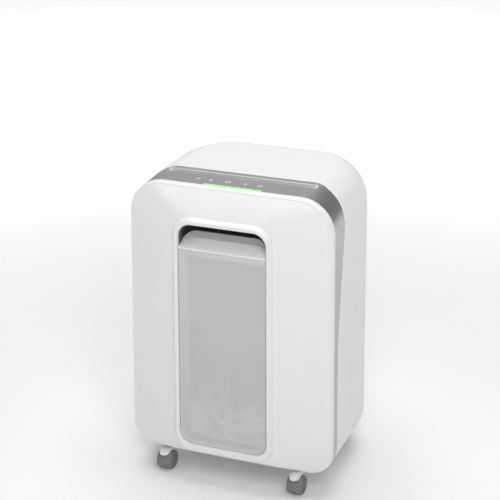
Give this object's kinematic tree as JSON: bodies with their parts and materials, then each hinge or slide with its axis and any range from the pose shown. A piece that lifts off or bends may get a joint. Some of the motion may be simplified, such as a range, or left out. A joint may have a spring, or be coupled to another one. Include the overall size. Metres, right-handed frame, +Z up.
{
  "type": "paper shredder",
  "caption": "Free-standing office paper shredder: white cabinet on twin-wheel casters, silver control band with a top paper slot, and a slide-out bin with a clear window.",
  "frame": {"origin": "on the floor, under the middle of the overall box", "axes": "+Z up, -Y towards the user at the window and pull, +X to the right when looking along +Y"},
  "size_m": [0.3554, 0.292, 0.52],
  "materials": {
    "white_shell": "smooth white ABS, soft sheen",
    "silver_trim": "satin silver paint on plastic",
    "light_grey": "plain moulded light grey",
    "handle_grey": "fine satin, cool light grey",
    "dark_plastic": "fine-grained black moulding",
    "caster_grey": "satin mid-grey nylon",
    "circuit_board": "green solder mask",
    "zinc_plate": "zinc-plated sheet and rod",
    "bronze": "plain sintered bearing metal",
    "cutter_steel": "ground hardened steel",
    "gear_steel": "machined steel",
    "motor_steel": "black-painted steel can",
    "paper": "shredded office paper",
    "smoke_clear": "translucent frosted grey",
    "green_lamp": "translucent green light bar"
  },
  "bodies": {
    "cabinet": {"rear_shell": "white_shell", "front_frame": "white_shell", "base_tray": "white_shell", "rear_grille": "white_shell", "control_band": "silver_trim", "paper_guide": "light_grey", "status_light": "green_lamp", "touch_board": "circuit_board", "power_board": "circuit_board", "mains_inlet": "dark_plastic", "switch_bezel": "dark_plastic", "bin_sensor": "dark_plastic", "bin_rail_left": "light_grey", "bin_rail_right": "light_grey", "head_plate_left": "zinc_plate", "head_plate_right": "zinc_plate", "tie_rod_front": "zinc_plate", "tie_rod_rear": "zinc_plate", "tie_rod_low": "zinc_plate", "throat_plate_front": "zinc_plate", "throat_plate_rear": "zinc_plate", "stripper_bar_front": "zinc_plate", "stripper_bar_rear": "zinc_plate", "chute_plate": "zinc_plate", "reduction_axle": "zinc_plate", "front_bearing_left": "bronze", "front_bearing_right": "bronze", "rear_bearing_left": "bronze", "rear_bearing_right": "bronze", "motor": "motor_steel"},
    "bin": {"front_cover": "white_shell", "window_panel": "smoke_clear", "pull_handle": "handle_grey", "handle_pocket": "dark_plastic", "bin_tub": "light_grey", "bin_magnet": "gear_steel", "paper_shreds": "paper"},
    "front_cutter": {"front_cutter": "cutter_steel", "front_cutter_gear": "gear_steel"},
    "rear_cutter": {"rear_cutter": "cutter_steel", "rear_cutter_gear": "gear_steel"},
    "reduction_gear": {"reduction_gear": "gear_steel"},
    "motor_rotor": {"motor_pinion": "gear_steel"},
    "rocker": {"rocker_switch": "dark_plastic"},
    "swivel_front_left": {"caster_fork_front_left": "caster_grey"},
    "wheels_front_left": {"caster_wheels_front_left": "caster_grey"},
    "swivel_front_right": {"caster_fork_front_right": "caster_grey"},
    "wheels_front_right": {"caster_wheels_front_right": "caster_grey"},
    "swivel_rear_left": {"caster_fork_rear_left": "caster_grey"},
    "wheels_rear_left": {"caster_wheels_rear_left": "caster_grey"},
    "swivel_rear_right": {"caster_fork_rear_right": "caster_grey"},
    "wheels_rear_right": {"caster_wheels_rear_right": "caster_grey"}
  },
  "joints": [
    {"name": "bin_slide", "type": "slide", "parent": "cabinet", "child": "bin", "axis": [0, -1, 0], "range_m": [0, 0.2]},
    {"name": "rear_cutter_spin", "type": "hinge", "parent": "cabinet", "child": "rear_cutter", "pos_m": [0, -0.037, 0.452], "axis": [1, 0, 0], "continuous": true},
    {"name": "front_cutter_spin", "type": "hinge", "parent": "cabinet", "child": "front_cutter", "pos_m": [0, -0.073, 0.452], "axis": [1, 0, 0], "continuous": true},
    {"name": "reduction_spin", "type": "hinge", "parent": "cabinet", "child": "reduction_gear", "pos_m": [0.146, -0.0055, 0.452], "axis": [1, 0, 0], "continuous": true},
    {"name": "motor_spin", "type": "hinge", "parent": "cabinet", "child": "motor_rotor", "pos_m": [0.139, 0.032, 0.452], "axis": [1, 0, 0], "continuous": true},
    {"name": "rocker_tip", "type": "hinge", "parent": "cabinet", "child": "rocker", "pos_m": [-0.06, 0.14, 0.095], "axis": [0, 0, 1], "range_deg": [0, 14]},
    {"name": "swivel_front_left", "type": "hinge", "parent": "cabinet", "child": "swivel_front_left", "pos_m": [-0.117, -0.119, 0.034], "axis": [0, 0, 1], "continuous": true},
    {"name": "roll_front_left", "type": "hinge", "parent": "swivel_front_left", "child": "wheels_front_left", "pos_m": [-0.117, -0.105, 0.016], "axis": [1, 0, 0], "continuous": true},
    {"name": "swivel_front_right", "type": "hinge", "parent": "cabinet", "child": "swivel_front_right", "pos_m": [0.117, -0.119, 0.034], "axis": [0, 0, 1], "continuous": true},
    {"name": "roll_front_right", "type": "hinge", "parent": "swivel_front_right", "child": "wheels_front_right", "pos_m": [0.117, -0.105, 0.016], "axis": [1, 0, 0], "continuous": true},
    {"name": "swivel_rear_left", "type": "hinge", "parent": "cabinet", "child": "swivel_rear_left", "pos_m": [-0.117, 0.09, 0.034], "axis": [0, 0, 1], "continuous": true},
    {"name": "roll_rear_left", "type": "hinge", "parent": "swivel_rear_left", "child": "wheels_rear_left", "pos_m": [-0.117, 0.104, 0.016], "axis": [1, 0, 0], "continuous": true},
    {"name": "swivel_rear_right", "type": "hinge", "parent": "cabinet", "child": "swivel_rear_right", "pos_m": [0.117, 0.09, 0.034], "axis": [0, 0, 1], "continuous": true},
    {"name": "roll_rear_right", "type": "hinge", "parent": "swivel_rear_right", "child": "wheels_rear_right", "pos_m": [0.117, 0.104, 0.016], "axis": [1, 0, 0], "continuous": true}
  ],
  "couplings": [
    {"joint": "front_cutter_spin", "follows": "rear_cutter_spin", "ratio": -1},
    {"joint": "reduction_spin", "follows": "rear_cutter_spin", "ratio": -1.3333},
    {"joint": "motor_spin", "follows": "rear_cutter_spin", "ratio": 5.3333}
  ]
}
